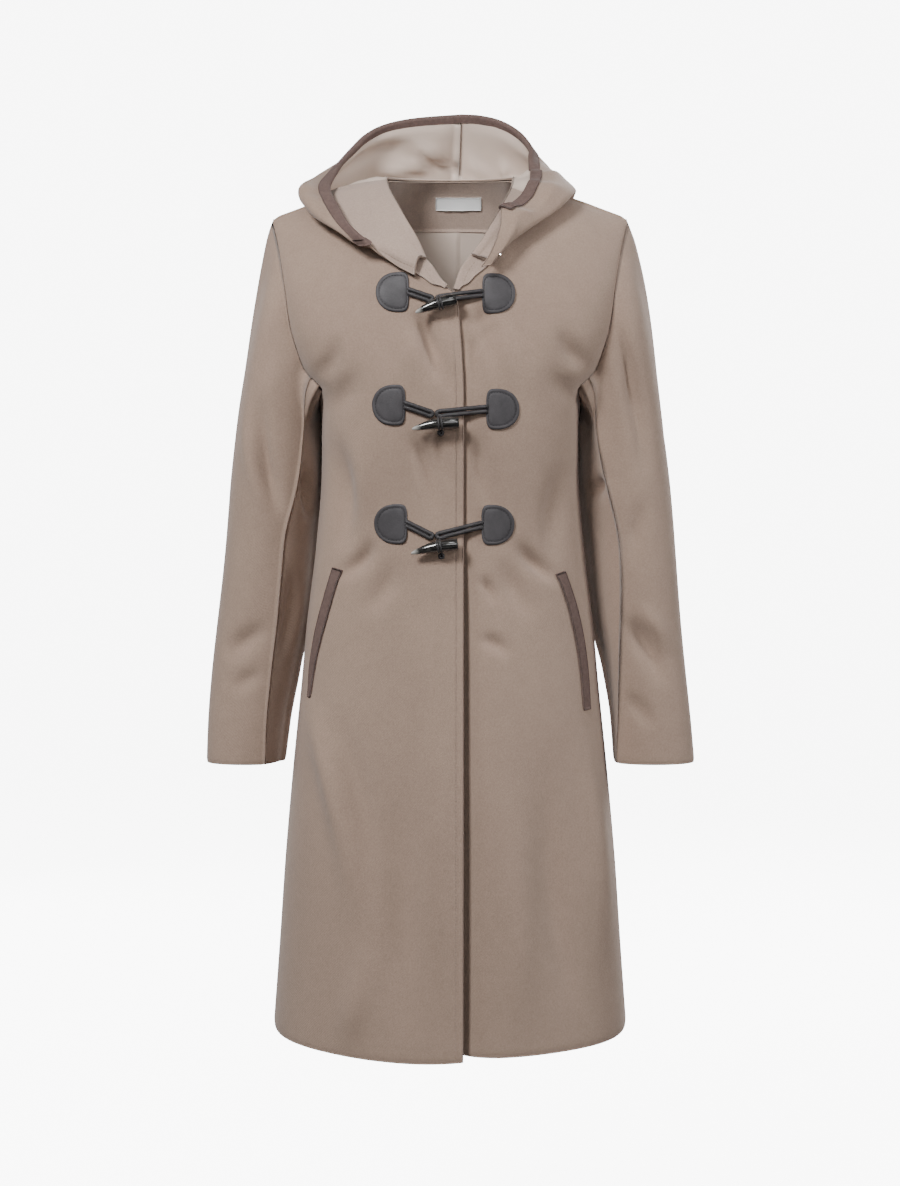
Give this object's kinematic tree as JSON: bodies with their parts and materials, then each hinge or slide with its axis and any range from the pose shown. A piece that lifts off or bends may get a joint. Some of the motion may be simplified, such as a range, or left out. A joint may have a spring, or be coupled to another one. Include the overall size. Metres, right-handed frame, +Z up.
{
  "type": "duffle coat",
  "caption": "Knee-length hooded duffle coat, filled out with no wearer, with toggle fastenings, slanted pocket welts and a bound, satin-lined hood hanging behind the neck.",
  "frame": {"origin": "between the wearer's shoulders, at the height of the shoulder line, midway across and midway front to back", "axes": "+Z up towards the hood, +X towards the wearer's left, -Y is the front of the coat"},
  "size_m": [0.5647, 0.3068, 1.0833],
  "materials": {
    "wool": "felted wool, matt",
    "wool_inside": "felted wool facing, matt",
    "satin": "satin lining",
    "suede_trim": "suede-like binding",
    "leather": "smooth leather",
    "leather_cord": "rolled leather cord",
    "horn": "polished horn look",
    "label_cloth": "plain woven label",
    "stud_metal": "small polished stud"
  },
  "bodies": {
    "root": {"back_right": "wool", "back_left": "wool", "front_right": "wool", "sleeve_right_upper": "wool", "sleeve_right_under": "wool", "hood_right": "wool", "front_facing_right": "wool_inside", "hood_facing_right": "wool_inside", "hood_lining_right": "satin", "pocket_welt_right": "suede_trim", "toggle_patch_right_1": "leather", "toggle_cord_right_1": "leather_cord", "toggle_patch_right_2": "leather", "toggle_cord_right_2": "leather_cord", "toggle_patch_right_3": "leather", "toggle_cord_right_3": "leather_cord", "front_left": "wool", "sleeve_left_upper": "wool", "sleeve_left_under": "wool", "hood_left": "wool", "front_facing_left": "wool_inside", "hood_facing_left": "wool_inside", "hood_lining_left": "satin", "pocket_welt_left": "suede_trim", "toggle_patch_left_1": "leather", "toggle_cord_left_1": "leather_cord", "toggle_patch_left_2": "leather", "toggle_cord_left_2": "leather_cord", "toggle_patch_left_3": "leather", "toggle_cord_left_3": "leather_cord", "toggle_1": "horn", "toggle_2": "horn", "toggle_3": "horn", "toggle_knot_2": "leather_cord", "toggle_knot_3": "leather_cord", "neck_facing": "wool_inside", "lining_back": "satin", "label": "label_cloth", "hood_binding": "suede_trim", "neck_stud": "stud_metal"}
  },
  "joints": []
}
